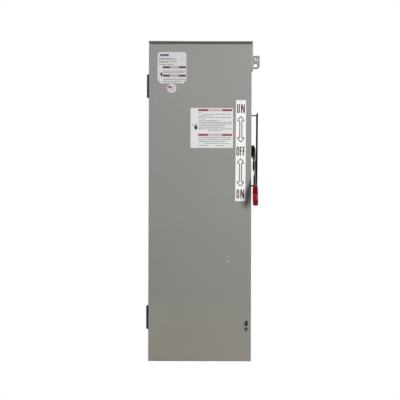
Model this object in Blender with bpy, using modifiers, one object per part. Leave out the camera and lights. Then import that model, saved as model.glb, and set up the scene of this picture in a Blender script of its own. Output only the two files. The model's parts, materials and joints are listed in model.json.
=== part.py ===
"""Double-throw disconnect switch in a tall rainproof wall enclosure.

Metres, +Z up. The front faces -Y and the origin is the centre of the rear wall face.
The operating handle stands in its lower ON position, and the door is closed.
"""

import math

import bmesh
import bpy
from mathutils import Matrix, Vector

GAP = 0.0003  # left between pieces that touch
PAST = 0.01  # how far a cutter reaches beyond what it cuts
SHEET = 0.002
STRAP = 0.0032  # copper strap thickness

# Enclosure
DOOR_WIDTH = 0.298
DOOR_TOP = 0.4555
DOOR_BOTTOM = -0.4635
DOOR_FRONT = -0.222
DOOR_REAR = -0.199
BODY_WIDTH = 0.293
BODY_FRONT = -0.205
BODY_TOP = 0.4612
BODY_BOTTOM = -0.461
LIP = 0.014
HOOD_TOP = 0.4635
HOOD_FRONT = -0.228
HOOD_DROP = 0.0795  # height of the hood's side flanges
HUB_OPENING = 0.038
HUB_Y = -0.105

BODY_SIDE = BODY_WIDTH / 2
DOOR_SIDE = DOOR_WIDTH / 2
INNER_SIDE = BODY_SIDE - SHEET
LIP_EDGE = BODY_SIDE - LIP

# Door hinges
HINGE_X = -0.1526
HINGE_Y = -0.198
HINGE_HEIGHT = 0.066
HINGE_Z = {"upper": 0.335, "lower": -0.338}

# Latch corner
LATCH_X = 0.136
STAPLE_Z = -0.353
FASTENER_Z = -0.369
FASTENER_HEAD = 0.005

# Operating mechanism: the shaft lies along X
AXIS_Y = -0.147
AXIS_Z = 0.148
THROW = math.radians(45)  # each ON position, from straight forward
SHAFT_RADIUS = 0.008
BORE = SHAFT_RADIUS + GAP
CROSSBAR_RADIUS = 0.012
PHASES = {"left": -0.075, "middle": -0.005, "right": 0.065}
BLADE_THICKNESS = 0.004
BLADE_REACH = 0.080
CAM_X = (0.122, 0.127)
CAM_RADIUS = 0.026
FRAME_X = 0.112
FRAME_SHEET = 0.0025
FRAME_FRONT = -0.185
FRAME_LOW = 0.0975
RUNNING_BORE = BORE + 0.0001  # for a shaft that turns in a fixed piece

# Door interlock: its pin lies along X
INTERLOCK_Y = -0.170
INTERLOCK_Z = 0.080
INTERLOCK_BORE = 0.0031

# Handle
HUB_X = (0.1515, 0.1557)
LEVER_X = (0.156, 0.1605)
LEVER_HALF_WIDTH = 0.011
LEVER_REACH = 0.200
EYE_RADIUS = 0.017
GRIP_X = (0.1513, 0.1666)
GRIP_START = 0.1575
GRIP_END = 0.218
PADLOCK_HOLE = 0.0045
LOCK_TRAVEL = 0.014
LEVER_HOLE_Y = -0.078

# Insulating base and what stands on it
BASE_FRONT = -0.0315
SEAT = BASE_FRONT - GAP  # rear face of each piece that stands on the base
STEM_FRONT = -0.0605
JAW_SPAN = (0.038, 0.064)  # height of a jaw above or below the shaft
LUG_HEIGHT = 0.030

PLANES = {
    "XY": Matrix.Identity(4),
    "YZ": Matrix(((0, 0, 1, 0), (1, 0, 0, 0), (0, 1, 0, 0), (0, 0, 0, 1))),
    "XZ": Matrix(((1, 0, 0, 0), (0, 0, -1, 0), (0, 1, 0, 0), (0, 0, 0, 1))),
}


def new_collection(name):
    collection = bpy.data.collections.new(name)
    bpy.context.scene.collection.children.link(collection)
    return collection


for leftover in list(bpy.data.objects):
    bpy.data.objects.remove(leftover)

PARTS = new_collection("ac_disconnect_box")
CUTTERS = new_collection("cutters")
CUTTERS.hide_render = True


def finish(name, colour, roughness, metallic=0.0, alpha=1.0):
    """A Principled material."""
    material = bpy.data.materials.new(name)
    material.use_nodes = True
    shader = material.node_tree.nodes["Principled BSDF"]
    shader.inputs["Base Color"].default_value = (*colour, 1.0)
    shader.inputs["Roughness"].default_value = roughness
    shader.inputs["Metallic"].default_value = metallic
    shader.inputs["Alpha"].default_value = alpha
    return material


GREY_PAINT = finish("grey_paint", (0.30, 0.30, 0.29), 0.45)
DARK_STEEL = finish("dark_steel", (0.035, 0.03, 0.028), 0.40, 0.8)
BLACK_STEEL = finish("black_steel", (0.012, 0.012, 0.013), 0.42, 0.6)
ZINC = finish("zinc", (0.55, 0.55, 0.52), 0.35, 1.0)
RED_VINYL = finish("red_vinyl", (0.19, 0.006, 0.009), 0.30)
COPPER = finish("tinned_copper", (0.60, 0.42, 0.32), 0.30, 1.0)
ALUMINIUM = finish("aluminium", (0.62, 0.63, 0.64), 0.35, 1.0)
MOULDED = finish("moulded_insulation", (0.05, 0.035, 0.03), 0.50)
FIBRE = finish("fibre_board", (0.62, 0.58, 0.48), 0.60)
CLEAR = finish("clear_plastic", (0.80, 0.85, 0.88), 0.10, 0.0, 0.35)
LABEL = finish("label_stock", (0.78, 0.78, 0.77), 0.40)
STICKER = finish("sticker_stock", (0.72, 0.62, 0.63), 0.45)


# Shapes


def shape_from(cage):
    """An object made from a bmesh, with its origin where the bmesh has its own."""
    mesh = bpy.data.meshes.new("shape")
    cage.to_mesh(mesh)
    cage.free()
    return bpy.data.objects.new("shape", mesh)


def block(low, high):
    """A box between two corners, with its origin at its centre."""
    low, high = Vector(low), Vector(high)
    cage = bmesh.new()
    bmesh.ops.create_cube(cage, size=1.0)
    bmesh.ops.scale(cage, vec=high - low, verts=cage.verts)
    shape = shape_from(cage)
    shape.location = (low + high) / 2
    return shape


def rod(axis, centre, span, radius, sides=24):
    """A cylinder along X, Y or Z. centre gives the other two coordinates, span its two ends."""
    cage = bmesh.new()
    ends = {"radius1": radius, "radius2": radius}
    bmesh.ops.create_cone(cage, cap_ends=True, segments=sides, depth=span[1] - span[0], **ends)
    shape = shape_from(cage)
    shape.data.shade_smooth()
    shape.data.set_sharp_from_angle(angle=math.radians(40))
    turn = {"X": PLANES["YZ"], "Y": PLANES["XZ"] @ Matrix.Rotation(math.pi, 4, "X"), "Z": PLANES["XY"]}
    place = list(centre)
    place.insert("XYZ".index(axis), sum(span) / 2)
    shape.matrix_world = Matrix.Translation(place) @ turn[axis]
    return shape


def slab(plane, points, span):
    """A flat outline in a plane, extruded between two distances along the plane's normal."""
    curve = bpy.data.curves.new("outline", "CURVE")
    curve.dimensions = "2D"
    curve.fill_mode = "BOTH"
    curve.extrude = (span[1] - span[0]) / 2
    line = curve.splines.new("POLY")
    line.points.add(len(points) - 1)
    for point, (u, v) in zip(line.points, points):
        point.co = (u, v, 0.0, 1.0)
    line.use_cyclic_u = True
    guide = bpy.data.objects.new("outline", curve)
    CUTTERS.objects.link(guide)
    middle = sum(span) / 2
    offset = {"XY": (0, 0, middle), "YZ": (middle, 0, 0), "XZ": (0, middle, 0)}[plane]
    guide.matrix_world = Matrix.Translation(offset) @ PLANES[plane]
    bpy.context.view_layer.update()
    evaluated = guide.evaluated_get(bpy.context.evaluated_depsgraph_get())
    mesh = bpy.data.meshes.new_from_object(evaluated)
    cage = bmesh.new()
    cage.from_mesh(mesh)
    bmesh.ops.remove_doubles(cage, verts=cage.verts, dist=1e-6)
    bmesh.ops.recalc_face_normals(cage, faces=cage.faces)
    cage.to_mesh(mesh)
    cage.free()
    shape = bpy.data.objects.new("shape", mesh)
    shape.matrix_world = guide.matrix_world
    bpy.data.objects.remove(guide)
    return shape


def arc(centre, radius, start, end, steps):
    """Points on a circle, from one angle in degrees to another."""
    angles = [math.radians(start + (end - start) * i / steps) for i in range(steps + 1)]
    return [(centre[0] + radius * math.cos(a), centre[1] + radius * math.sin(a)) for a in angles]


def soften(shape, width, segments=2):
    """Rounds a shape's edges."""
    bevel = shape.modifiers.new("rounded", "BEVEL")
    bevel.width = width
    bevel.segments = segments
    bevel.limit_method = "ANGLE"
    return shape


def pivot(name, place, turn=0.0, carrier=None):
    """An empty on a joint's axis, which carries what moves together; place is its carrier's own."""
    empty = bpy.data.objects.new(name, None)
    empty.parent = carrier
    empty.location = place
    empty.rotation_euler.x = turn
    empty.empty_display_size = 0.03
    PARTS.objects.link(empty)
    return empty


def node(name, material, solids, cuts=(), carrier=None, local=False):
    """One named piece: the first solid, joined with the others and cut by the cutters.

    Its carrier is the pivot it moves with. With local, the shapes' places are the pivot's own.
    """
    body = solids[0]
    body.name = name
    body.data.name = name
    body.data.materials.append(material)
    PARTS.objects.link(body)
    operands = [(shape, "UNION") for shape in solids[1:]] + [(shape, "DIFFERENCE") for shape in cuts]
    for count, (shape, operation) in enumerate(operands):
        shape.name = f"{name}_{operation.lower()}_{count}"
        shape.hide_render = True
        shape.display_type = "WIRE"
        CUTTERS.objects.link(shape)
        boolean = body.modifiers.new(operation.lower(), "BOOLEAN")
        boolean.operation = operation
        boolean.solver = "EXACT"
        boolean.object = shape
    for shape in (body, *(shape for shape, _ in operands)):
        if carrier is not None:
            shape.parent = carrier
            if not local:
                shape.matrix_parent_inverse = Matrix.Translation(-carrier.location)
    return body


# Enclosure


def enclosure_body():
    """The wrapper: back, two sides and turned-in front lips, with mounting and shaft holes."""
    front, back = BODY_FRONT, 0.0
    outer = [(-LIP_EDGE, front), (-BODY_SIDE, front), (-BODY_SIDE, back), (BODY_SIDE, back)]
    outer += [(BODY_SIDE, front), (LIP_EDGE, front)]
    inner = [(LIP_EDGE, front + SHEET), (INNER_SIDE, front + SHEET), (INNER_SIDE, back - SHEET)]
    inner += [(-INNER_SIDE, back - SHEET), (-INNER_SIDE, front + SHEET), (-LIP_EDGE, front + SHEET)]
    wrapper = slab("XY", outer + inner, (BODY_BOTTOM, BODY_TOP))
    through_back = (-PAST, PAST)
    hole_x, hole_z = 0.105, 0.400
    head, neck, keyhole = 0.008, 0.0045, 0.0176
    cuts = []
    for side in (-1, 1):
        x = side * hole_x
        cuts.append(rod("Y", (x, hole_z), through_back, head, 16))
        cuts.append(block((x - neck, -PAST, hole_z), (x + neck, PAST, hole_z + keyhole)))
        cuts.append(rod("Y", (x, -hole_z), through_back, neck, 12))
    shaft_clearance = 0.0115
    through_side = (INNER_SIDE - PAST, BODY_SIDE + PAST)
    cuts.append(rod("X", (AXIS_Y, AXIS_Z), through_side, shaft_clearance))
    lip_hole = 0.0032
    through_lip = (BODY_FRONT - PAST, BODY_FRONT + PAST)
    cuts.append(rod("Y", (LATCH_X, FASTENER_Z), through_lip, lip_hole, 12))
    return node("enclosure_body", GREY_PAINT, [wrapper], cuts)


def top_endwall():
    """The top sheet: its front edge turns down as a drip hood, its sides lap over the wrapper."""
    side, drip = DOOR_SIDE, 0.007
    top = block((-side, HOOD_FRONT, HOOD_TOP - SHEET), (side, 0, HOOD_TOP))
    hood = block((-side, HOOD_FRONT, HOOD_TOP - drip), (side, HOOD_FRONT + SHEET, HOOD_TOP))
    edge, inner_lip = LIP_EDGE - GAP, 0.0225
    lip = block(
        (-edge, BODY_FRONT, HOOD_TOP - inner_lip),
        (edge, BODY_FRONT + SHEET, HOOD_TOP - SHEET / 2),
    )
    flanges = []
    flange_front = DOOR_REAR + SHEET / 2
    for sign in (-1, 1):
        near, far = sorted((sign * (side - SHEET), sign * side))
        flanges.append(block((near, flange_front, HOOD_TOP - HOOD_DROP), (far, 0, HOOD_TOP)))
    opening = rod("Z", (0, HUB_Y), (HOOD_TOP - PAST, HOOD_TOP + PAST), HUB_OPENING, 32)
    return node("top_endwall", GREY_PAINT, [top, hood, lip, *flanges], [opening])


def hub_closing_plate():
    """The plate over the conduit opening in the top."""
    half, rounding = 0.051, 0.0007
    bottom, thickness = HOOD_TOP + GAP, 0.0025
    plate = block((-half, HUB_Y - half, bottom), (half, HUB_Y + half, bottom + thickness))
    return node("hub_closing_plate", GREY_PAINT, [soften(plate, rounding, 1)])


def bottom_endwall():
    """The bottom sheet, inside the wrapper, with pressed conduit knockouts."""
    side = INNER_SIDE - GAP
    rear = -SHEET - GAP
    floor = block((-side, BODY_FRONT + SHEET + GAP, BODY_BOTTOM), (side, rear, BODY_BOTTOM + SHEET))
    edge, lip_height, flange_height = LIP_EDGE - GAP, 0.020, 0.015
    lip = block(
        (-edge, BODY_FRONT, BODY_BOTTOM),
        (edge, BODY_FRONT + SHEET + 2 * GAP, BODY_BOTTOM + lip_height),
    )
    flange = block((-side, rear - SHEET, BODY_BOTTOM), (side, rear, BODY_BOTTOM + flange_height))
    emboss = 0.0006
    span = (BODY_BOTTOM - emboss, BODY_BOTTOM + SHEET / 2)
    knockouts = []
    for x, radius in ((-0.085, 0.022), (0.0, 0.031), (0.085, 0.022)):
        knockouts.append(rod("Z", (x, HUB_Y), span, radius))
    return node("bottom_endwall", GREY_PAINT, [floor, lip, flange, *knockouts])


def side_tab():
    """A bracket on the right side, with a round hole through the tab that faces forward."""
    inner, thickness = DOOR_SIDE + GAP, 0.003
    front = -0.190
    top, bottom, right = 0.426, 0.3868, 0.1738
    flange_bottom, flange_top, depth = 0.384, 0.456, 0.070
    flange = block((inner, front, flange_bottom), (inner + thickness, front + depth, flange_top))
    corner, small = 0.010, 0.004
    outline = [(inner, top), *arc((right - small, top - small), small, 90, 0, 3)]
    outline += arc((right - corner, bottom + corner), corner, 0, -90, 5)
    outline.append((inner, bottom))
    tab = slab("XZ", outline, (front, front + thickness))
    eye, radius = (0.1616, 0.3967), 0.005
    hole = rod("Y", eye, (front - PAST, front + PAST), radius, 16)
    return node("side_tab", GREY_PAINT, [tab, flange], [hole])


# Door


def door(swing):
    """The door: a shallow pan, open at the back, with a slot for the staple."""
    low = (-DOOR_SIDE, DOOR_FRONT, DOOR_BOTTOM)
    pan = block(low, (DOOR_SIDE, DOOR_REAR, DOOR_TOP))
    inside = DOOR_SIDE - SHEET
    hollow = block(
        (-inside, DOOR_FRONT + SHEET, DOOR_BOTTOM + SHEET),
        (inside, DOOR_REAR + PAST, DOOR_TOP - SHEET),
    )
    through = (DOOR_FRONT - PAST, DOOR_FRONT + PAST)
    slot_half_width, slot_half_height = 0.0033, 0.008
    slot = block(
        (LATCH_X - slot_half_width, through[0], STAPLE_Z - slot_half_height),
        (LATCH_X + slot_half_width, through[1], STAPLE_Z + slot_half_height),
    )
    shank_hole = 0.003
    screw_hole = rod("Y", (LATCH_X, FASTENER_Z), through, shank_hole, 12)
    # The top flange stops short of the wrapper's lips, which run up behind it.
    short_top = block(
        (-inside, BODY_FRONT - 2 * GAP, DOOR_TOP - 2 * SHEET),
        (inside, DOOR_REAR + PAST, DOOR_TOP + SHEET),
    )
    return node("door", GREY_PAINT, [pan], [hollow, slot, screw_hole, short_top], swing)


def hinge(which, swing):
    """One hinge: a leaf on the wrapper with two barrels, a leaf on the door with one, and the pin."""
    middle = HINGE_Z[which]
    low, high = middle - HINGE_HEIGHT / 2, middle + HINGE_HEIGHT / 2
    joint = HINGE_HEIGHT / 6
    barrel, bore, pin_radius, head_radius = 0.0032, 0.0019, 0.0016, 0.0027
    axis = (HINGE_X, HINGE_Y)
    slack = 0.0002
    outer_spans = ((low, middle - joint - slack), (middle + joint + slack, high))
    inner_span = (middle - joint + slack, middle + joint - slack)
    bored = (low - PAST, high + PAST)
    leaf_left, leaf_front, leaf_rear = -0.1502, HINGE_Y + 0.0025, -0.168
    arm_right, arm_depth = -0.148, 0.0032
    solids = [block((leaf_left, leaf_front, low), (-BODY_SIDE - GAP, leaf_rear, high))]
    for start, end in outer_spans:
        solids.append(rod("Z", axis, (start, end), barrel, 12))
        solids.append(block((HINGE_X, HINGE_Y, start), (arm_right, HINGE_Y + arm_depth, end)))
    node(f"hinge_leaf_body_{which}", DARK_STEEL, solids, [rod("Z", axis, bored, bore, 12)])
    plate_left, plate_right, plate_rear = -0.151, -DOOR_SIDE - GAP, HINGE_Y - 0.004
    overlap = 0.0005
    plate = block((plate_left, DOOR_FRONT + SHEET, low), (plate_right, plate_rear, high))
    arm_low = (HINGE_X, plate_rear - overlap, inner_span[0])
    arm = block(arm_low, (plate_right, HINGE_Y, inner_span[1]))
    solids = [plate, rod("Z", axis, inner_span, barrel, 12), arm]
    node(f"hinge_leaf_door_{which}", DARK_STEEL, solids, [rod("Z", axis, bored, bore, 12)], swing)
    end, head_top = 0.001, 0.002
    pin = rod("Z", axis, (low - end, high + end), pin_radius, 12)
    head = rod("Z", axis, (high + GAP, high + head_top), head_radius, 12)
    node(f"hinge_pin_{which}", DARK_STEEL, [pin, head])


def padlock_staple():
    """The staple on the wrapper's lip, which reaches out through the door's slot."""
    lip_face = BODY_FRONT - GAP
    foot_left, foot_right, foot_low, foot_high = 0.1335, 0.1435, -0.364, -0.342
    foot = block((foot_left, lip_face - SHEET, foot_low), (foot_right, lip_face, foot_high))
    half_thickness, half_height, reach = 0.0011, 0.0065, 0.014
    tongue = block(
        (LATCH_X - half_thickness, DOOR_FRONT - reach, STAPLE_Z - half_height),
        (LATCH_X + half_thickness, lip_face - SHEET / 2, STAPLE_Z + half_height),
    )
    eye_y, eye_radius, relief = DOOR_FRONT - 0.0075, 0.0036, 0.0055
    eye = rod("X", (eye_y, STAPLE_Z), (LATCH_X - PAST, LATCH_X + PAST), eye_radius, 12)
    around_lip = (lip_face - PAST, lip_face + PAST)
    screw_relief = rod("Y", (LATCH_X, FASTENER_Z), around_lip, relief, 12)
    return node("padlock_staple", BLACK_STEEL, [foot, tongue], [eye, screw_relief])


def door_fastener(turn):
    """The slotted quarter-turn fastener under the staple, in its own pivot's places."""
    head_front, slot_depth, slot_half = -0.008, 0.002, 0.0007
    shank_radius, shank_end, overlap = 0.0024, 0.0215, 0.001
    head = rod("Y", (0, 0), (head_front, -GAP), FASTENER_HEAD, 16)
    shank = rod("Y", (0, 0), (-overlap, shank_end), shank_radius, 12)
    across = FASTENER_HEAD + overlap
    slot = block(
        (-across, head_front - slot_depth, -slot_half),
        (across, head_front + slot_depth, slot_half),
    )
    return node("door_fastener", BLACK_STEEL, [head, shank], [slot], turn, local=True)


def labels(swing):
    """The plates and stickers on the door's face."""
    face = DOOR_FRONT - GAP
    plate, paper, film = 0.0008, 0.0005, 0.0003
    notch = 0.004
    left, right, low, high = -0.124, -0.040, 0.342, 0.433
    outline = arc((left, low), notch, 90, 0, 3) + arc((right, low), notch, 180, 90, 3)
    outline += arc((right, high), notch, 270, 180, 3) + arc((left, high), notch, 360, 270, 3)
    node("nameplate", LABEL, [slab("XZ", outline, (face - plate, face))], (), swing)
    left, right, low, high = -0.028, 0.0957, 0.155, 0.271
    warning = block((left, face - paper, low), (right, face, high))
    node("warning_label", LABEL, [warning], (), swing)
    left, right, low, high = 0.103, 0.1325, 0.001, 0.294
    strip = block((left, face - plate, low), (right, face, high))
    node("position_strip", LABEL, [strip], (), swing)
    centre, radius = (-0.0826, 0.3277), 0.0135
    sticker = rod("Y", centre, (face - film, face), radius, 32)
    node("round_sticker", STICKER, [sticker], (), swing)


def interlock_catch(swing):
    """The catch inside the door: its window takes the interlock's hook."""
    face = DOOR_FRONT + SHEET + GAP
    left, right, foot_low, foot_high = 0.100, 0.118, 0.085, 0.115
    shelf_low, shelf_high, shelf_rear = 0.097, 0.0995, -0.188
    window_x, window_y, through = (0.1065, 0.113), (-0.207, -0.191), (0.090, 0.105)
    foot = block((left, face, foot_low), (right, face + SHEET, foot_high))
    shelf = block((left, face, shelf_low), (right, shelf_rear, shelf_high))
    corners = zip(window_x, window_y, through)
    return node("interlock_catch", ZINC, [foot, shelf], [block(*corners)], swing)


# Handle side


def handle_guard():
    """The guard outside the handle: a plate on two straps with feet on the wrapper's side."""
    wall = BODY_SIDE + GAP
    outer, thickness = 0.169, 0.0023
    half_height, strap_offset = 0.111, 0.104
    front, rear = -0.196, -0.100
    rounding, overlap = 0.0006, 0.001
    plate = block(
        (outer - thickness, front, AXIS_Z - half_height),
        (outer, rear, AXIS_Z + half_height),
    )
    solids = [soften(plate, rounding, 1)]
    strap_front, strap_rear = -0.160, -0.135
    foot_height = 0.020
    for sign in (-1, 1):
        near = AXIS_Z + sign * strap_offset
        low, high = sorted((near, near + sign * thickness))
        solids.append(block((wall, strap_front, low), (outer - overlap, strap_rear, high)))
        low, high = sorted((near, near + sign * foot_height))
        solids.append(block((wall, strap_front, low), (wall + thickness, strap_rear, high)))
    return node("handle_guard", DARK_STEEL, solids)


def shaft_bushing():
    """The flanged bushing in the wrapper's side wall."""
    centre = (AXIS_Y, AXIS_Z)
    inside_end, overlap = 0.1435, 0.001
    flange_end, flange_radius, neck_radius = 0.1512, 0.015, 0.0111
    flange = rod("X", centre, (BODY_SIDE + GAP, flange_end), flange_radius)
    neck = rod("X", centre, (inside_end, BODY_SIDE + overlap), neck_radius)
    bore = rod("X", centre, (inside_end - PAST, flange_end + PAST), RUNNING_BORE)
    return node("shaft_bushing", MOULDED, [flange, neck], [bore])


def paddle(radius, half_width, reach, steps):
    """The outline of a round eye with a straight arm towards the first axis."""
    meet = math.degrees(math.asin(half_width / radius))
    side = math.copysign(1, reach)
    turn = 0 if side > 0 else 180
    outline = arc((0, 0), radius, turn + meet, turn + 360 - meet, steps)
    blunt = 0.003
    tip = [(reach, half_width - blunt), (reach - side * blunt, half_width)]
    ends = [(u, -v) for u, v in reversed(tip)] + tip
    return outline + (ends if side > 0 else [(u, -v) for u, v in ends])


def handle(throw, lock):
    """Everything outside the wall that turns with the shaft, modelled pointing forward."""
    axis = (0, 0)
    through = (HUB_X[0] - PAST, LEVER_X[1] + PAST)
    hub = rod("X", axis, HUB_X, EYE_RADIUS)
    bore = rod("X", axis, through, BORE)
    node("handle_hub", BLACK_STEEL, [hub], [bore], throw, local=True)
    bar = slab("YZ", paddle(EYE_RADIUS, LEVER_HALF_WIDTH, -LEVER_REACH, 20), LEVER_X)
    holes = [rod("X", axis, through, BORE), rod("X", (LEVER_HOLE_Y, 0), through, PADLOCK_HOLE, 16)]
    node("lever", BLACK_STEEL, [bar], holes, throw, local=True)
    half_height, rounding, mouth = 0.0135, 0.004, 0.01
    grip = block((GRIP_X[0], -GRIP_END, -half_height), (GRIP_X[1], -GRIP_START, half_height))
    room = 0.0004
    pocket = block(
        (LEVER_X[0] - room, -LEVER_REACH - room, -LEVER_HALF_WIDTH - room),
        (LEVER_X[1] + room, mouth - GRIP_START, LEVER_HALF_WIDTH + room),
    )
    node("grip", RED_VINYL, [soften(grip, rounding, 3)], [pocket], throw, local=True)
    bolt_end, bolt_radius = 0.1630, 0.009
    bolt = rod("X", axis, (LEVER_X[1] + GAP, bolt_end), bolt_radius, 6)
    node("handle_bolt", BLACK_STEEL, [bolt], (), throw, local=True)
    start, end, half, wall = -0.0715, -0.0515, 0.0135, 0.002
    left, right = 0.1546, 0.1627
    inner_left, inner_right, inner_half = 0.1557, 0.1608, half - wall
    sleeve = block((left, start, -half), (right, end, half))
    channel = block((inner_left, start - PAST, -inner_half), (inner_right, end + PAST, inner_half))
    hole = rod("X", (LEVER_HOLE_Y + LOCK_TRAVEL, 0), through, PADLOCK_HOLE, 16)
    node("lock_plate", BLACK_STEEL, [sleeve], [channel, hole], lock, local=True)


# Switch mechanism


def rotor(throw):
    """Shaft, crossbar, blades and cam: they turn with the handle."""
    axis = (0, 0)
    shaft_start, bar_left, bar_right = 0.1038, -0.100, 0.1035
    journal_end, overlap = -0.118, 0.001
    shaft = rod("X", axis, (shaft_start, LEVER_X[1]), SHAFT_RADIUS)
    node("operating_shaft", ZINC, [shaft], (), throw, local=True)
    bar = rod("X", axis, (bar_left, bar_right), CROSSBAR_RADIUS)
    journal = rod("X", axis, (journal_end, bar_left + overlap), SHAFT_RADIUS)
    node("crossbar", MOULDED, [bar, journal], (), throw, local=True)
    hub_radius, half_width, play = 0.019, 0.010, 0.0005
    for phase, x in PHASES.items():
        span = (x - BLADE_THICKNESS / 2, x + BLADE_THICKNESS / 2)
        blade = slab("YZ", paddle(hub_radius, half_width, BLADE_REACH, 20), span)
        bore = rod("X", axis, (x - PAST, x + PAST), CROSSBAR_RADIUS + play)
        node(f"blade_{phase}", COPPER, [blade], [bore], throw, local=True)
    cam = rod("X", axis, CAM_X, CAM_RADIUS, 36)
    through = (CAM_X[0] - PAST, CAM_X[1] + PAST)
    cuts = [rod("X", axis, through, BORE)]
    notch_radius, notch_distance = 0.005, 0.027
    for angle in (-THROW, 0, THROW):
        centre = (notch_distance * math.cos(angle), notch_distance * math.sin(angle))
        cuts.append(rod("X", centre, through, notch_radius, 16))
    node("detent_cam", ZINC, [cam], cuts, throw, local=True)


def mechanism_frame():
    """The bracket inside the right wall that carries the shaft, the detent and the interlock."""
    wall = INNER_SIDE - GAP
    rear, high = -0.060, 0.2005
    right, low = FRAME_X + FRAME_SHEET, FRAME_LOW
    ear_low, ear_rear, overlap = 0.070, -0.155, 0.001
    plate = block((FRAME_X, FRAME_FRONT, low), (right, rear, high))
    top = block((FRAME_X, FRAME_FRONT, high - FRAME_SHEET), (wall, rear, high))
    bottom = block((FRAME_X, FRAME_FRONT, low), (wall, rear, low + FRAME_SHEET))
    ear = block((FRAME_X, FRAME_FRONT, ear_low), (right, ear_rear, low + overlap))
    through = (FRAME_X - PAST, FRAME_X + PAST)
    bore = rod("X", (AXIS_Y, AXIS_Z), through, RUNNING_BORE)
    pin_hole = rod("X", (INTERLOCK_Y, INTERLOCK_Z), through, INTERLOCK_BORE, 12)
    return node("mechanism_frame", ZINC, [plate, top, bottom, ear], [bore, pin_hole])


def detent_spring():
    """The leaf spring whose nose drops into the cam's notches."""
    left, right = 0.1205, 0.1285
    face, thickness, foot_rear = -0.1165, 0.0014, -0.100
    floor = FRAME_LOW + FRAME_SHEET + GAP
    leaf_top, nose_y, nose_radius = AXIS_Z + 0.010, AXIS_Y + 0.0269, 0.004
    leaf = block((left, face, floor), (right, face + thickness, leaf_top))
    nose = rod("X", (nose_y, AXIS_Z), (left, right), nose_radius, 16)
    foot = block((left, face, floor), (right, foot_rear, floor + thickness))
    return node("detent_spring", ZINC, [leaf, nose, foot])


def interlock_latch(hook_turn):
    """The hook that holds the door's catch, in its own pivot's places, and its pin."""
    left, right = 0.1080, 0.1115
    front, rear, half_height, hook_rear, hook_top = -0.034, 0.008, 0.006, -0.028, 0.015
    bar = block((left, front, -half_height), (right, rear, half_height))
    hook = block((left, front, -half_height), (right, hook_rear, hook_top))
    bore = rod("X", (0, 0), (left - PAST, right + PAST), INTERLOCK_BORE, 12)
    node("interlock_latch", ZINC, [bar, hook], [bore], hook_turn, local=True)
    centre = (INTERLOCK_Y, INTERLOCK_Z)
    pin_start, pin_end, pin_radius = 0.106, 0.1160, 0.0028
    head_start, head_end, head_radius = 0.1052, 0.1077, 0.0046
    pin = rod("X", centre, (pin_start, pin_end), pin_radius, 12)
    head = rod("X", centre, (head_start, head_end), head_radius, 12)
    node("interlock_pin", ZINC, [head, pin])


def insulating_base():
    """The moulded panel that carries the live parts, on four standoffs."""
    left, right, low, high, thickness = -0.125, 0.105, -0.250, 0.330, 0.010
    panel = block((left, BASE_FRONT, low), (right, BASE_FRONT + thickness, high))
    solids = [panel]
    inboard, half, overlap = 0.025, 0.010, 0.001
    front = BASE_FRONT + thickness - overlap
    for x in (left + inboard, right - inboard):
        for z in (low + inboard, high - inboard):
            corner = (x - half, front, z - half)
            solids.append(block(corner, (x + half, -SHEET - GAP, z + half)))
    return node("insulating_base", MOULDED, solids)


def crossbar_bearing():
    """The post that carries the crossbar's far end."""
    left, right, front, half_height = -0.115, -0.106, -0.160, 0.015
    splay, foot_left, foot_half_height, foot_thickness = 0.009, -0.119, 0.030, 0.005
    post = block((left, front, AXIS_Z - half_height), (right, SEAT, AXIS_Z + half_height))
    foot = block(
        (foot_left, SEAT - foot_thickness, AXIS_Z - foot_half_height),
        (right + splay, SEAT, AXIS_Z + foot_half_height),
    )
    bore = rod("X", (AXIS_Y, AXIS_Z), (left - PAST, right + PAST), RUNNING_BORE)
    return node("crossbar_bearing", MOULDED, [post, foot], [bore])


def leaves(x, front, span):
    """Two spring leaves, one each side of a blade."""
    play, thickness, overlap = 0.0004, 0.002, 0.001
    inner = BLADE_THICKNESS / 2 + play
    outer = inner + thickness
    rear = STEM_FRONT + overlap
    left = block((x - outer, front, span[0]), (x - inner, rear, span[1]))
    right = block((x + inner, front, span[0]), (x + outer, rear, span[1]))
    stem = block((x - outer, STEM_FRONT, span[0]), (x + outer, SEAT, span[1]))
    return [stem, left, right]


def lug(name, x, low):
    """A cable lug in front of a strap's end: a block with a cable hole and a clamping screw."""
    half_width, depth, cable_radius = 0.013, 0.027, 0.008
    screw_height, screw_radius, overlap = 0.004, 0.0055, 0.001
    rear = SEAT - STRAP - GAP
    front = rear - depth
    high = low + LUG_HEIGHT
    body = block((x - half_width, front, low), (x + half_width, rear, high))
    cable = rod("Z", (x, (front + rear) / 2), (low - PAST, high + PAST), cable_radius, 16)
    screw_span = (front - screw_height, front + overlap)
    screw = rod("Y", (x, (low + high) / 2), screw_span, screw_radius, 12)
    node(name, ALUMINIUM, [body, screw], [cable])


def line_terminals():
    """The upper and lower jaws with their straps and lugs, one of each for a phase."""
    half_strap, strap_reach, leaf_front = 0.011, 0.142, -0.108
    for phase, x in PHASES.items():
        for level, sign in (("upper", 1), ("lower", -1)):
            span = sorted(AXIS_Z + sign * offset for offset in JAW_SPAN)
            far = AXIS_Z + sign * strap_reach
            low, high = sorted((AXIS_Z + sign * JAW_SPAN[0], far))
            strap = block((x - half_strap, SEAT - STRAP, low), (x + half_strap, SEAT, high))
            node(f"jaw_{level}_{phase}", COPPER, leaves(x, leaf_front, span) + [strap])
            lug(f"lug_{level}_{phase}", x, min(far, far - sign * LUG_HEIGHT))


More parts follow.
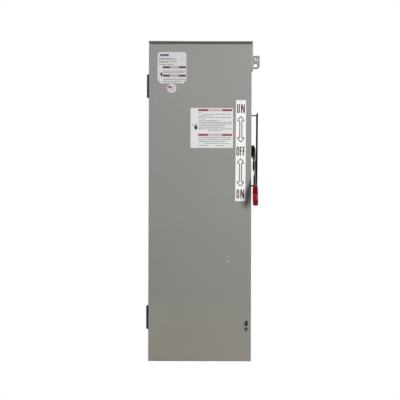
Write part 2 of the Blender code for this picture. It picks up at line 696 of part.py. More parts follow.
def load_terminals():
    """The centre posts, whose straps run down beside the lower jaws to the load lugs."""
    half_height, leaf_front = 0.009, AXIS_Y + 0.0135
    span = (AXIS_Z - half_height, AXIS_Z + half_height)
    near, far, strap_side, pad_side = -0.006, 0.027, 0.014, -0.005
    end, pad_height = -0.210, 0.035
    lug_side, lug_rise = 0.011, 0.002
    rear = SEAT - STRAP
    for phase, x in PHASES.items():
        foot = block((x + near, rear, span[0]), (x + far, SEAT, span[1]))
        strap = block((x + strap_side, rear, end), (x + far, SEAT, span[1]))
        pad = block((x + pad_side, rear, end), (x + far, SEAT, end + pad_height))
        node(f"load_post_{phase}", COPPER, leaves(x, leaf_front, span) + [foot, strap, pad])
        lug(f"lug_load_{phase}", x + lug_side, end + lug_rise)


def barriers():
    """Two insulating walls between the phases, notched for the crossbar, and the line shield."""
    half, front, low, high = 0.0015, -0.180, -0.020, 0.300
    notch_half = 0.014
    for side, x in (("left", -0.040), ("right", 0.030)):
        wall = block((x - half, front, low), (x + half, SEAT, high))
        notch = block(
            (x - PAST, front - PAST, AXIS_Z - notch_half),
            (x + PAST, AXIS_Y + notch_half, AXIS_Z + notch_half),
        )
        node(f"phase_barrier_{side}", FIBRE, [wall], [notch])
    left, right, low, high, thickness = -0.122, 0.102, 0.215, 0.318, 0.0022
    rear = front - GAP
    shield = block((left, rear - thickness, low), (right, rear, high))
    node("line_shield", CLEAR, [shield])


def ground_bar():
    """The earthing bar on the back of the wrapper."""
    left, right, front, middle, half_height = -0.130, -0.050, -0.015, -0.340, 0.006
    low, high = middle - half_height, middle + half_height
    bar = block((left, front, low), (right, -SHEET - GAP, high))
    count, hole_radius = 5, 0.0024
    holes = []
    for i in range(count):
        x = left + (right - left) * (i + 0.5) / count
        holes.append(rod("Y", (x, middle), (front - PAST, PAST), hole_radius, 8))
    return node("ground_bar", ALUMINIUM, [bar], holes)


def build():
    swing = pivot("door_axis", (HINGE_X, HINGE_Y, 0))
    turn = pivot("fastener_axis", (LATCH_X - HINGE_X, DOOR_FRONT - HINGE_Y, FASTENER_Z), carrier=swing)
    throw = pivot("throw_axis", (0, AXIS_Y, AXIS_Z), THROW)
    lock = pivot("lock_axis", (0, 0, 0), carrier=throw)
    hook_turn = pivot("interlock_axis", (0, INTERLOCK_Y, INTERLOCK_Z))
    enclosure_body()
    top_endwall()
    hub_closing_plate()
    bottom_endwall()
    side_tab()
    door(swing)
    for which in HINGE_Z:
        hinge(which, swing)
    padlock_staple()
    door_fastener(turn)
    labels(swing)
    interlock_catch(swing)
    handle_guard()
    shaft_bushing()
    handle(throw, lock)
    rotor(throw)
    mechanism_frame()
    detent_spring()
    interlock_latch(hook_turn)
    insulating_base()
    crossbar_bearing()
    line_terminals()
    load_terminals()
    barriers()
    ground_bar()
    bpy.context.view_layer.update()


build()
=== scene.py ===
"""Looks of the double-throw disconnect switch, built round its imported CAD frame.

Metres, +Z up, front towards -Y.
"""

import json
import math
import random

import bmesh
import bpy
from mathutils import Matrix, Vector


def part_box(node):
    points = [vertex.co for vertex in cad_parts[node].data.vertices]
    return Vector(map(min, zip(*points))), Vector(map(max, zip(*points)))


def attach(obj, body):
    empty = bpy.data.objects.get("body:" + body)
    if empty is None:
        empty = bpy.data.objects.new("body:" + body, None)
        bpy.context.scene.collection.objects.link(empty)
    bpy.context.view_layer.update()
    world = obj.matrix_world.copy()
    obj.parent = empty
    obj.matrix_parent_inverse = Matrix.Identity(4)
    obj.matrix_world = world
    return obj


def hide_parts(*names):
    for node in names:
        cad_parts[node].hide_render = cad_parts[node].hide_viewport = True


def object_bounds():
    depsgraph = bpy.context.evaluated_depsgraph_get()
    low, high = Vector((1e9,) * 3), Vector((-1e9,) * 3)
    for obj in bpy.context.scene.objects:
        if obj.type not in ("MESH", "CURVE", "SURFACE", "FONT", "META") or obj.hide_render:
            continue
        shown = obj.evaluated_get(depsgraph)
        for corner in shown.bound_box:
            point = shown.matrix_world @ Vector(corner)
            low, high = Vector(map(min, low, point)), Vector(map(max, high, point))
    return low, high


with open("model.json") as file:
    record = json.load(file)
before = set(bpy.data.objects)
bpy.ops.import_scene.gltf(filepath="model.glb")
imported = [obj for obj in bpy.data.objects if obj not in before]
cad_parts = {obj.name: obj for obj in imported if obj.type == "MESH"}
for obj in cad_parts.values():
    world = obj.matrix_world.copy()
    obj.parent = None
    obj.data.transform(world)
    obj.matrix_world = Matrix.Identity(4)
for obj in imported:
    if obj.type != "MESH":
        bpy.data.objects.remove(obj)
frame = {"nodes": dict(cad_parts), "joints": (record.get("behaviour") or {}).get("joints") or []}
CAD_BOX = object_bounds()
NODES = frame["nodes"]
SCENE = bpy.context.scene

PLANES = {
    "XY": Matrix.Identity(4),
    "YZ": Matrix(((0, 0, 1, 0), (1, 0, 0, 0), (0, 1, 0, 0), (0, 0, 0, 1))),
    "XZ": Matrix(((1, 0, 0, 0), (0, 0, -1, 0), (0, 1, 0, 0), (0, 0, 0, 1))),
}
INK = 0.00012  # thickness of print on a label
DASH = 0.0017  # height of a dash of small print
SHARP = math.radians(35)  # an edge that turns by more than this is rounded
TURNS = [math.radians(15 * i) for i in range(24)]
PHASES = ("left", "middle", "right")
HUB_Y = -0.105  # depth of the conduit openings' centres
FASTENER_AT = (0.136, -0.369)  # X and Z
PADLOCK_HOLE = 0.0045
ACROSS_LEVER = (0.15, 0.17)  # X, from inside the lever to outside it

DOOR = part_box("door")
FACE = DOOR[0].y  # the door's front face
AXIS = next(Vector(j["pos_m"]) for j in frame["joints"] if j["name"] == "handle_throw")
THROW = math.radians(45)  # the lever's angle below straight forward, at rest


# Objects and shader nodes


def placed(name, data):
    """A new object in the scene, from a mesh, a lamp or a camera."""
    made = bpy.data.objects.new(name, data)
    SCENE.collection.objects.link(made)
    return made


def mesh_of(cage, name):
    """Moves a cage into a new mesh."""
    mesh = bpy.data.meshes.new(name)
    cage.to_mesh(mesh)
    cage.free()
    return mesh


def added(nodes, kind, **inputs):
    """A new shader node with some of its inputs set."""
    node = nodes.new("ShaderNode" + kind)
    for socket, value in inputs.items():
        node.inputs[socket.replace("_", " ")].default_value = value
    return node


def join(source, output, target, socket):
    """Links two shader nodes of one tree."""
    source.id_data.links.new(source.outputs[output], target.inputs[socket])


# Camera, light and floor


def camera():
    """Square to the front, far away, turned by a sixth of a degree."""
    distance, width_seen, sensor = 4.3, 1.16, 36.0
    aside, up, roll = 0.0003, 0.0041, math.radians(-0.16)
    data = bpy.data.cameras.new("camera")
    data.sensor_width = sensor
    data.lens = sensor * distance / width_seen
    eye = placed("camera", data)
    eye.location = (aside, FACE - distance, up)
    eye.rotation_euler = (math.radians(90), roll, 0)
    SCENE.camera = eye


def area_light(name, azimuth, elevation, distance, size, power, colour=(1, 1, 1), target=(0, -0.2, 0)):
    """A soft lamp that faces the target. Azimuth 0 is in front, 90 on the right."""
    data = bpy.data.lights.new(name, "AREA")
    data.shape = "RECTANGLE"
    data.size, data.size_y = size
    data.energy = power
    data.color = colour
    lamp = placed(name, data)
    a, e = math.radians(azimuth), math.radians(elevation)
    away = Vector((math.sin(a) * math.cos(e), -math.cos(a) * math.cos(e), math.sin(e)))
    lamp.location = Vector(target) + away * distance
    lamp.rotation_mode = "QUATERNION"
    lamp.rotation_quaternion = (-away).to_track_quat("-Z", "Y")


def seen_white(tree, light_shader, output):
    """White where the camera looks straight at it, and the given shader for every other ray."""
    nodes = tree.nodes
    path = added(nodes, "LightPath")
    white = added(nodes, "Emission")
    mix = added(nodes, "MixShader")
    join(path, "Is Camera Ray", mix, "Fac")
    join(light_shader, 0, mix, 1)
    join(white, "Emission", mix, 2)
    join(mix, "Shader", output, "Surface")


def studio():
    """A key lamp at the front right, five weaker ones, and white surroundings that give little light."""
    SCENE.view_settings.view_transform = "Standard"
    world = bpy.data.worlds.new("studio")
    SCENE.world = world
    world.use_nodes = True
    tree = world.node_tree
    ambient = tree.nodes["Background"]
    ambient.inputs["Color"].default_value = (0.93, 0.97, 1.0, 1)
    ambient.inputs["Strength"].default_value = 0.035
    seen_white(tree, ambient, tree.nodes["World Output"])
    area_light("key", 21, 3.5, 4.0, (0.85, 1.3), 116, (1.0, 0.99, 0.965), (0.12, -0.25, 0.06))
    area_light("overhead", -4, 36, 2.2, (1.6, 0.4), 8, (1.0, 1.0, 0.99), (0, -0.2, 0.35))
    area_light("rear", -140, 22, 3.0, (2.0, 2.0), 70, (0.98, 0.99, 1.0))
    area_light("rear_right", 118, 18, 3.0, (1.6, 1.8), 34, (0.98, 0.99, 1.0))
    area_light("above", 180, 72, 2.4, (1.6, 1.0), 12)
    area_light("fill", -62, 10, 2.0, (1.4, 1.8), 8, (0.95, 0.98, 1.0))
    cage = bmesh.new()
    bmesh.ops.create_grid(cage, x_segments=1, y_segments=1, size=30)
    floor = placed("floor", mesh_of(cage, "floor"))
    clearance = 0.002
    floor.location.z = CAD_BOX[0].z - clearance
    pale = bpy.data.materials.new("floor")
    pale.use_nodes = True
    tree = pale.node_tree
    shader = tree.nodes["Principled BSDF"]
    shader.inputs["Base Color"].default_value = (0.22, 0.215, 0.20, 1)
    shader.inputs["Roughness"].default_value = 0.9
    seen_white(tree, shader, tree.nodes["Material Output"])
    floor.data.materials.append(pale)


# Materials


def material(name, colour, second, rough, metallic=0.0, grain=180.0, bump=0.05, bump_scale=900.0, **sockets):
    """A Principled material whose colour drifts between two tones, with a fine bump and uneven gloss."""
    made = bpy.data.materials.new(name)
    made.use_nodes = True
    nodes = made.node_tree.nodes
    shader = nodes["Principled BSDF"]
    shader.inputs["Metallic"].default_value = metallic
    for socket, value in sockets.items():
        shader.inputs[socket.replace("_", " ")].default_value = value
    place = added(nodes, "TexCoord")
    broad = added(nodes, "TexNoise", Scale=grain, Detail=4.0)
    ramp = added(nodes, "ValToRGB")
    for stop, position, tone in zip(ramp.color_ramp.elements, (0.3, 0.7), (colour, second)):
        stop.position = position
        stop.color = (*tone, 1)
    gloss = added(nodes, "MapRange", To_Min=rough[0], To_Max=rough[1])
    fine = added(nodes, "TexNoise", Scale=bump_scale, Detail=3.0)
    relief = added(nodes, "Bump", Strength=bump, Distance=0.0004)
    join(place, "Object", broad, "Vector")
    join(place, "Object", fine, "Vector")
    join(broad, "Fac", ramp, "Fac")
    join(broad, "Fac", gloss, "Value")
    join(fine, "Fac", relief, "Height")
    join(ramp, "Color", shader, "Base Color")
    join(gloss, "Result", shader, "Roughness")
    join(relief, "Normal", shader, "Normal")
    return made


def brushed(made, direction):
    """Turns a material's fine bump into long scratches along one axis."""
    along, strength = 0.03, 0.12
    nodes = made.node_tree.nodes
    place = nodes["Texture Coordinate"]
    stretch = added(nodes, "Mapping", Scale=[along if axis == direction else 1.0 for axis in "XYZ"])
    fine = nodes["Noise Texture.001"]
    join(place, "Object", stretch, "Vector")
    join(stretch, "Vector", fine, "Vector")
    nodes["Bump"].inputs["Strength"].default_value = strength
    return made


def dust_and_painted_light_paint(name, tones, rough):
    """Powder coat: orange-peel bump, and tones that change slowly from the bottom of the box to the top: a
    warm dusty tint at the very bottom, painted shade over the lower part and painted light that makes the
    top paler.
    """
    made = material(name, (0.94, 0.94, 0.94), (1, 1, 1), rough, grain=6.0, bump=0.10, bump_scale=700.0)
    nodes = made.node_tree.nodes
    split = added(nodes, "SeparateXYZ")
    height = added(nodes, "MapRange", From_Min=CAD_BOX[0].z, From_Max=CAD_BOX[1].z)
    ramp = added(nodes, "ValToRGB")
    ramp.color_ramp.interpolation = "EASE"
    while len(ramp.color_ramp.elements) < len(tones):
        ramp.color_ramp.elements.new(0.5)
    for stop, (place, tone) in zip(ramp.color_ramp.elements, tones):
        stop.position = place
        stop.color = (*tone, 1)
    mottled = added(nodes, "Mix")
    mottled.data_type = "RGBA"
    mottled.blend_type = "MULTIPLY"
    mottled.inputs["Factor"].default_value = 1.0
    join(nodes["Texture Coordinate"], "Object", split, "Vector")
    join(split, "Z", height, "Value")
    join(height, "Result", ramp, "Fac")
    join(ramp, "Color", mottled, "A")
    join(nodes["Color Ramp"], "Color", mottled, "B")
    join(mottled, "Result", nodes["Principled BSDF"], "Base Color")
    return made


def ink(name, colour, second, rough=(0.4, 0.5), grain=200.0):
    """Print: two close tones, with next to no bump."""
    return material(name, colour, second, rough, 0.0, grain, 0.02)


# Tones by height: a warm dusty tint at the bottom, painted shade that darkens the lower third and painted
# light that makes the top paler.
PAINT_TONES = [
    (0.0, (0.285, 0.266, 0.228)),
    (0.10, (0.268, 0.258, 0.228)),
    (0.22, (0.243, 0.243, 0.226)),
    (0.55, (0.262, 0.264, 0.250)),
    (1.0, (0.288, 0.290, 0.282)),
]
# Every painted sheet of the box carries this painted light and shade by height.
PAINT = dust_and_painted_light_paint("paint", PAINT_TONES, (0.42, 0.54))
# A paler copy of the box's paint for the tab's flange: a painted highlight on its narrow front strips.
FLANGE_PAINTED_HIGHLIGHT = material("tab_painted_highlight", (0.44, 0.44, 0.43), (0.40, 0.40, 0.39), (0.35, 0.45), 0.0, 60.0, 0.06)
PAINT_INSIDE = material(
    "paint_inside", (0.262, 0.264, 0.252), (0.245, 0.247, 0.237), (0.45, 0.55), bump_scale=700.0
)
GUARD = material(
    "guard_coating", (0.036, 0.029, 0.023), (0.028, 0.023, 0.019), (0.6, 0.75), 0.0, 60.0, 0.08,
    Specular_IOR_Level=0.2,
)
BLACK = material(
    "black_oxide", (0.006, 0.006, 0.006), (0.011, 0.011, 0.010), (0.42, 0.55), 0.0, 90.0, 0.08,
    Specular_IOR_Level=0.25,
)
HINGE = material("hinge_steel", (0.045, 0.042, 0.038), (0.07, 0.065, 0.058), (0.35, 0.5), 0.7, 120.0, 0.10)
LEVER = brushed(material("lever_steel", (0.20, 0.225, 0.20), (0.16, 0.18, 0.16), (0.45, 0.6), 0.0), "Y")
VINYL = material(
    "red_vinyl", (0.25, 0.003, 0.007), (0.215, 0.003, 0.006), (0.14, 0.18), 0.0, 25.0, 0.03, 260.0,
    Specular_IOR_Level=0.4,
)
# A paler red for the grip's crest: a painted highlight.
GRIP_PAINTED_HIGHLIGHT = material(
    "vinyl_painted_highlight", (0.46, 0.075, 0.085), (0.36, 0.04, 0.05), (0.3, 0.4), 0.0, 60.0, 0.03, 260.0
)
ZINC = material("zinc_plate", (0.55, 0.56, 0.54), (0.62, 0.61, 0.54), (0.22, 0.38), 1.0, 45.0, 0.06, 1400.0)
COPPER = brushed(material("copper", (0.66, 0.36, 0.24), (0.56, 0.29, 0.19), (0.22, 0.38), 1.0, 40.0), "Z")
ALUMINIUM = brushed(
    material("aluminium", (0.62, 0.63, 0.64), (0.56, 0.57, 0.58), (0.28, 0.42), 1.0, 60.0), "Z"
)
MOULDED = material(
    "moulded", (0.045, 0.030, 0.026), (0.060, 0.042, 0.036), (0.42, 0.58), 0.0, 300.0, 0.15, 1100.0
)
FIBRE = material("fibre", (0.52, 0.47, 0.36), (0.60, 0.55, 0.44), (0.55, 0.70), 0.0, 160.0, 0.2, 500.0)
CLEAR = material(
    "clear", (0.86, 0.90, 0.92), (0.82, 0.87, 0.90), (0.05, 0.12), bump=0.01, Transmission_Weight=0.92
)
LABEL = material("label", (0.95, 0.945, 0.94), (0.92, 0.915, 0.91), (0.32, 0.42), 0.0, 35.0, 0.03)
PAPER = material("paper_label", (0.77, 0.77, 0.785), (0.73, 0.73, 0.745), (0.40, 0.52), 0.0, 60.0, 0.05)
DULL_PAPER = material(
    "dull_paper_label", (0.66, 0.665, 0.68), (0.61, 0.615, 0.63), (0.40, 0.52), 0.0, 60.0, 0.05
)
PINK = material("pale_sticker", (0.62, 0.55, 0.58), (0.70, 0.65, 0.67), (0.35, 0.45), 0.0, 90.0, 0.03)
RED_INK = ink("red_ink", (0.33, 0.014, 0.036), (0.24, 0.012, 0.030), (0.35, 0.45), 60.0)
DARK_RED_INK = ink("dark_red_ink", (0.075, 0.003, 0.008), (0.06, 0.003, 0.007), (0.35, 0.45))
CRIMSON_INK = ink("crimson_ink", (0.13, 0.004, 0.02), (0.17, 0.006, 0.025), (0.35, 0.45), 60.0)
MAROON_INK = ink("maroon_ink", (0.052, 0.010, 0.016), (0.042, 0.009, 0.014), (0.35, 0.45))
BLACK_INK = ink("black_ink", (0.010, 0.010, 0.011), (0.016, 0.016, 0.016), (0.35, 0.5))
GREY_INK = ink("grey_ink", (0.09, 0.09, 0.10), (0.17, 0.17, 0.185), grain=90.0)
BLUE_INK = ink("blue_ink", (0.055, 0.075, 0.14), (0.07, 0.09, 0.16))
PALE_INK = ink("pale_ink", (0.45, 0.33, 0.37), (0.52, 0.40, 0.43))
PATCH_INK = ink("patch_ink", (0.10, 0.085, 0.11), (0.13, 0.11, 0.14))
FASTENER = material(
    "fastener_steel", (0.055, 0.054, 0.050), (0.085, 0.083, 0.077), (0.35, 0.5), 0.3, 200.0, 0.08
)
BARE = material("bare_weld", (0.46, 0.45, 0.42), (0.40, 0.39, 0.36), (0.35, 0.5), 0.3, 300.0, 0.10)


# Shapes: each adds to a bmesh cage, in the frame's own metres


def merge(cage, extra, place=None, turn=None):
    """Adds one bmesh to another, placed and then turned, and frees it."""
    if place:
        bmesh.ops.transform(extra, matrix=turn @ place if turn else place, verts=extra.verts)
    bmesh.ops.recalc_face_normals(extra, faces=extra.faces)
    mesh = mesh_of(extra, "extra")
    cage.from_mesh(mesh)
    bpy.data.meshes.remove(mesh)


def shaped(shape, *values, **options):
    """A new cage that holds one shape."""
    cage = bmesh.new()
    shape(cage, *values, **options)
    return cage


def everything(cage):
    """The cage's corners, edges and faces, for an operator that takes them all."""
    return cage.verts[:] + cage.edges[:] + cage.faces[:]


def facing(centre, towards):
    """Puts a shape made along Z at a point, pointing in a direction."""
    return Matrix.Translation(centre) @ Vector(towards).to_track_quat("Z", "Y").to_matrix().to_4x4()


def round_edges(cage, width, segments=2, only=None):
    """Bevels the cage's sharp edges, or those of them that only() accepts."""
    edges = [e for e in cage.edges if len(e.link_faces) == 2 and e.calc_face_angle() > SHARP]
    if only is not None:
        edges = [e for e in edges if only(e)]
    options = {"segments": segments, "profile": 0.5, "affect": "EDGES", "clamp_overlap": True}
    bmesh.ops.bevel(cage, geom=edges, offset=width, **options)


def block(cage, low, high, bevel=0.0004, segments=2, turn=None):
    """A box between two corners, with rounded edges."""
    low, high = Vector(low), Vector(high)
    extra = bmesh.new()
    bmesh.ops.create_cube(extra, size=1.0)
    bmesh.ops.scale(extra, vec=high - low, verts=extra.verts)
    if bevel:
        round_edges(extra, bevel, segments)
    merge(cage, extra, Matrix.Translation((low + high) / 2), turn)


def rod(cage, axis, centre, span, radius, sides=32, bevel=0.0003, turn=None):
    """A cylinder along an axis, with rounded rims."""
    extra = bmesh.new()
    length = span[1] - span[0]
    bmesh.ops.create_cone(extra, cap_ends=True, segments=sides, depth=length, radius1=radius, radius2=radius)
    if bevel:
        round_edges(extra, bevel, 2)
    turns = {"X": PLANES["YZ"], "Y": PLANES["XZ"] @ Matrix.Rotation(math.pi, 4, "X"), "Z": PLANES["XY"]}
    place = list(centre)
    place.insert("XYZ".index(axis), sum(span) / 2)
    merge(cage, extra, Matrix.Translation(place) @ turns[axis], turn)


def slab(cage, plane, points, span, bevel=0.0, segments=2, turn=None):
    """A flat outline, extruded between two distances along its plane's normal axis."""
    extra = bmesh.new()
    sign = -1 if plane == "XZ" else 1
    start, end = sorted(sign * value for value in span)
    corners = [extra.verts.new((u, v, start)) for u, v in points]
    bottom = extra.faces.new(corners)
    raised = bmesh.ops.extrude_face_region(extra, geom=[bottom])["geom"]
    lifted = [v for v in raised if isinstance(v, bmesh.types.BMVert)]
    bmesh.ops.translate(extra, vec=(0, 0, end - start), verts=lifted)
    bmesh.ops.recalc_face_normals(extra, faces=extra.faces)
    if bevel:
        round_edges(extra, bevel, segments)
    merge(cage, extra, PLANES[plane], turn)


def dome(cage, centre, radius, height, towards=(0, -1, 0)):
    """A low round head, such as a rivet's."""
    extra = bmesh.new()
    bmesh.ops.create_uvsphere(extra, u_segments=24, v_segments=10, radius=radius)
    half = {"plane_co": (0, 0, 0), "plane_no": (0, 0, 1), "clear_inner": True}
    bmesh.ops.bisect_plane(extra, geom=everything(extra), **half)
    bmesh.ops.contextual_create(extra, geom=[e for e in extra.edges if e.is_boundary])
    bmesh.ops.scale(extra, vec=(1, 1, height / radius), verts=extra.verts)
    merge(cage, extra, facing(centre, towards))


def arc(centre, radius, start, end, steps):
    """Points on a circle, from one angle in degrees to another."""
    angles = [math.radians(start + (end - start) * i / steps) for i in range(steps + 1)]
    return [(centre[0] + radius * math.cos(a), centre[1] + radius * math.sin(a)) for a in angles]


def fillet(points, radii, steps=6):
    """Rounds an outline's corners, each by its own radius; 0 leaves a corner sharp."""
    rounded = []
    path = [Vector(p) for p in points]
    for i, corner in enumerate(path):
        radius = radii[i] if hasattr(radii, "__len__") else radii
        if not radius:
            rounded.append(tuple(corner))
            continue
        one = (path[i - 1] - corner).normalized()
        two = (path[(i + 1) % len(path)] - corner).normalized()
        half = one.angle(two) / 2
        centre = corner + (one + two).normalized() * radius / math.sin(half)
        start, end = (side / math.tan(half) * radius + corner - centre for side in (one, two))
        rounded += [tuple(centre + start.slerp(end, k / steps) * radius) for k in range(steps + 1)]
    return rounded


def inset(points, distance):
    """A convex outline, drawn in by a distance."""
    path = [Vector(p) for p in points]
    smaller = []
    for i, corner in enumerate(path):
        one = (path[i - 1] - corner).normalized()
        two = (path[(i + 1) % len(path)] - corner).normalized()
        smaller.append(corner + (one + two).normalized() * distance / math.sin(one.angle(two) / 2))
    return smaller


def cushion(cage, points, radii, span, rim, turn, steps=5):
    """A thick convex outline across X with rounded rims: outlines stacked, drawn in at either end."""
    rings = []
    for i in range(steps + 1):
        angle = math.radians(90 * i / steps)
        rings.append((span[0] + rim * (1 - math.cos(angle)), rim * (1 - math.sin(angle))))
    rings += [(span[0] + span[1] - x, drawn) for x, drawn in reversed(rings)]
    extra = bmesh.new()
    loops = []
    for x, drawn in rings:
        outline = fillet(inset(points, drawn), [max(radius - drawn, 0.0003) for radius in radii], steps)
        loops.append([extra.verts.new((x, *point)) for point in outline])
    for one, two in zip(loops, loops[1:]):
        for i in range(len(one)):
            extra.faces.new((one[i - 1], one[i], two[i], two[i - 1]))
    extra.faces.new(loops[0])
    extra.faces.new(reversed(loops[-1]))
    merge(cage, extra, turn)


def ribbon(cage, points, width, closed, face, turn=None):
    """A flat printed line on a face of the door, with mitred corners. Points are X and Z."""
    path = [Vector(p) for p in points]
    sharpest = 0.4  # keeps a mitre from running far out at a tight corner
    count = len(path)
    sides = []
    for i, point in enumerate(path):
        before = path[i - 1] if closed or i else None
        after = path[(i + 1) % count] if closed or i < count - 1 else None
        one = (point - before).normalized() if before is not None else (after - point).normalized()
        two = (after - point).normalized() if after is not None else one
        middle = (one + two).normalized()
        normal = Vector((-middle.y, middle.x))
        reach = width / 2 / max(sharpest, normal.dot(Vector((-one.y, one.x))))
        sides.append((point + normal * reach, point - normal * reach))
    for i in range(count if closed else count - 1):
        (a, b), (c, d) = sides[i], sides[(i + 1) % count]
        slab(cage, "XZ", [a, b, d, c], (face - INK, face), turn=turn)


def finish(cage, name, finish_material, body, replaces=(), cutters=()):
    """Makes the piece: cuts it, shades it and sets it on its body."""
    piece = placed(name, mesh_of(cage, name))
    if cutters:
        cut(piece, cutters)
    piece.data.materials.clear()
    piece.data.materials.append(finish_material)
    piece.data.shade_smooth()
    piece.data.set_sharp_from_angle(angle=math.radians(38))
    piece.modifiers.new("even_normals", "WEIGHTED_NORMAL").keep_sharp = True
    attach(piece, body)
    if replaces:
        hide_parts(*replaces)
    return piece


def cut(piece, cutters):
    """Cuts bmesh cages out of a piece and keeps the result as its mesh."""
    tools = []
    for cage in cutters:
        tool = placed("cutter", mesh_of(cage, "cutter"))
        tools.append(tool)
        boolean = piece.modifiers.new("cut", "BOOLEAN")
        boolean.operation = "DIFFERENCE"
        boolean.object = tool
    bpy.context.view_layer.update()
    evaluated = piece.evaluated_get(bpy.context.evaluated_depsgraph_get())
    result = bpy.data.meshes.new_from_object(evaluated)
    piece.modifiers.clear()
    piece.data = result
    for tool in tools:
        bpy.data.objects.remove(tool)


def carried(name, finish_material, bevel=0.0003):
    """A CAD node that stays: a better material, welded corners and softened edges."""
    node = NODES[name]
    node.data.materials.clear()
    node.data.materials.append(finish_material)
    weld = node.modifiers.new("weld", "WELD")
    weld.merge_threshold = 0.00001
    if bevel:
        soft = node.modifiers.new("soft_edges", "BEVEL")
        soft.width = bevel
        soft.segments = 2
        soft.limit_method = "ANGLE"
        soft.angle_limit = SHARP
    node.modifiers.new("even_normals", "WEIGHTED_NORMAL").keep_sharp = True


def screw(name, centre, towards, radius, drive="cross"):
    """A plated screw of the enclosure, with its drive recess and washer, all in shares of its radius."""
    sides = 6 if drive == "hex" else 28
    washer_top, head_low, head_top, past_top = radius * 0.18, radius * 0.16, radius * 0.85, radius * 1.2
    head = shaped(rod, "Z", (0, 0), (0, washer_top), radius * 1.35, 28, radius * 0.05)
    rod(head, "Z", (0, 0), (head_low, head_top), radius, sides, radius * 0.16)
    long, thin, recess = radius * 0.6, radius * 0.11, radius * 0.45
    if drive == "hex":
        cutters = [shaped(rod, "Z", (0, 0), (radius * 0.75, past_top), radius * 0.5, 20, 0)]
    else:
        cutters = [shaped(block, (-long, -thin, recess), (long, thin, past_top), 0)]
    if drive == "cross":
        cutters.append(shaped(block, (-thin, -long, recess), (thin, long, past_top), 0))
    for cage in (head, *cutters):
        bmesh.ops.transform(cage, matrix=facing(centre, towards), verts=cage.verts)
    finish(head, name, ZINC, "enclosure", (), cutters)


# Enclosure


def wrapper():
    """The bent body: rounded corners, mounting holes, and holes for the shaft and the fastener."""
    low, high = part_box("enclosure_body")
    sheet, lip, bend = 0.002, 0.014, 0.003
    side, front, back = high.x, low.y, high.y
    tight = bend - sheet
    left, right = -side + bend, side - bend
    bends = [(left, front + bend), (left, back - bend), (right, back - bend), (right, front + bend)]
    outer, inner = [(-side + lip, front)], [(side - lip, front + sheet)]
    for i, centre in enumerate(bends):
        outer += arc(centre, bend, 270 - 90 * i, 180 - 90 * i, 5)
    for i, centre in enumerate(reversed(bends)):
        inner += arc(centre, tight, 90 * i - 90, 90 * i, 3)
    outer.append((side - lip, front))
    inner.append((-side + lip, front + sheet))
    cage = shaped(slab, "XY", outer + inner, (low.z, high.z))
    hole_x, hole_z, head, neck, neck_reach = 0.105, 0.400, 0.008, 0.0045, 2.2
    shaft_hole, fastener_hole = 0.0115, 0.0032
    through = (-0.01, 0.01)
    cutters = []
    for x in (-hole_x, hole_x):
        outline = arc((x, hole_z), head, 125, 415, 20)
        outline += arc((x, hole_z + neck_reach * head - neck), neck, 0, 180, 8)
        cutters.append(shaped(slab, "XZ", outline, through))
        cutters.append(shaped(rod, "Y", (x, -hole_z), through, neck, 24, 0))
    cutters.append(shaped(rod, "X", (AXIS.y, AXIS.z), (side - 0.01, side + 0.01), shaft_hole, 32, 0))
    cutters.append(shaped(rod, "Y", FASTENER_AT, (front - 0.005, front + 0.008), fastener_hole, 20, 0))
    finish(cage, "wrapper", PAINT, "enclosure", ["enclosure_body"], cutters)


def door():
    """The door skin: bent edges, the staple's slot, weld marks, a stud's swelling and a stiffener."""
    top_rise = 0.0016
    low, high = DOOR[0], DOOR[1] + Vector((0, 0, top_rise))
    sheet, bend, corner = 0.002, 0.0024, 0.0009
    front, rear = low.y, high.y
    outer = bmesh.new()
    bmesh.ops.create_cube(outer, size=1.0)
    bmesh.ops.scale(outer, vec=high - low, verts=outer.verts)
    bmesh.ops.translate(outer, vec=(high + low) / 2, verts=outer.verts)
    round_edges(outer, bend, 4, only=lambda e: all(abs(v.co.y - front) < 1e-5 for v in e.verts))
    round_edges(outer, corner, 2, only=lambda e: abs(e.verts[0].co.y - e.verts[1].co.y) > 0.01)
    cage = bmesh.new()
    merge(cage, outer)
    past_rear = rear + 0.02
    inner_low = (low.x + sheet, front + sheet, low.z + sheet)
    hollow = shaped(block, inner_low, (high.x - sheet, past_rear, high.z - sheet), 0.0012)
    top_low = (low.x + sheet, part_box("enclosure_body")[0].y - 0.0006, high.z - 0.004)
    top = shaped(block, top_low, (high.x - sheet, past_rear, high.z + 0.01), 0)
    through, fastener_hole = (front - 0.005, front + 0.007), 0.003
    half, reach = 0.0024, 0.0078
    staple_x, staple_z = 0.1368, -0.353
    ends = arc((staple_x, staple_z + reach - half), half, 0, 180, 10)
    ends += arc((staple_x, staple_z - reach + half), half, 180, 360, 10)
    slot = shaped(slab, "XZ", ends, through)
    hole = shaped(rod, "Y", FASTENER_AT, through, fastener_hole, 24, 0)
    finish(cage, "door_skin", PAINT, "door", ["door"], [hollow, top, slot, hole])
    marks = bmesh.new()
    for x, z in ((0.0832, -0.1602), (0.0818, -0.1728)):
        dome(marks, (x, front + 0.0001, z), 0.0021, 0.0006)
    finish(marks, "door_weld_marks", BARE, "door")
    swell = shaped(dome, (-0.0336, front + 0.0001, 0.0861), 0.0062, 0.0005)
    finish(swell, "door_stud_swell", PAINT, "door")
    inner = front + sheet + 0.0002
    gauge, depth, foot, hat = 0.0012, 0.008, (0.060, 0.104), (0.071, 0.093)
    profile = [
        (foot[0], inner), (hat[0], inner), (hat[0], inner + depth), (hat[1], inner + depth), (hat[1], inner)
    ]
    profile += [(foot[1], inner), (foot[1], inner + gauge), (hat[1] + gauge, inner + gauge)]
    profile += [(hat[1] + gauge, inner + depth + gauge), (hat[0] - gauge, inner + depth + gauge)]
    profile += [(hat[0] - gauge, inner + gauge), (foot[0], inner + gauge)]
    stiffener = shaped(slab, "XY", profile, (-0.30, 0.06))
    finish(stiffener, "door_stiffener", PAINT_INSIDE, "door")


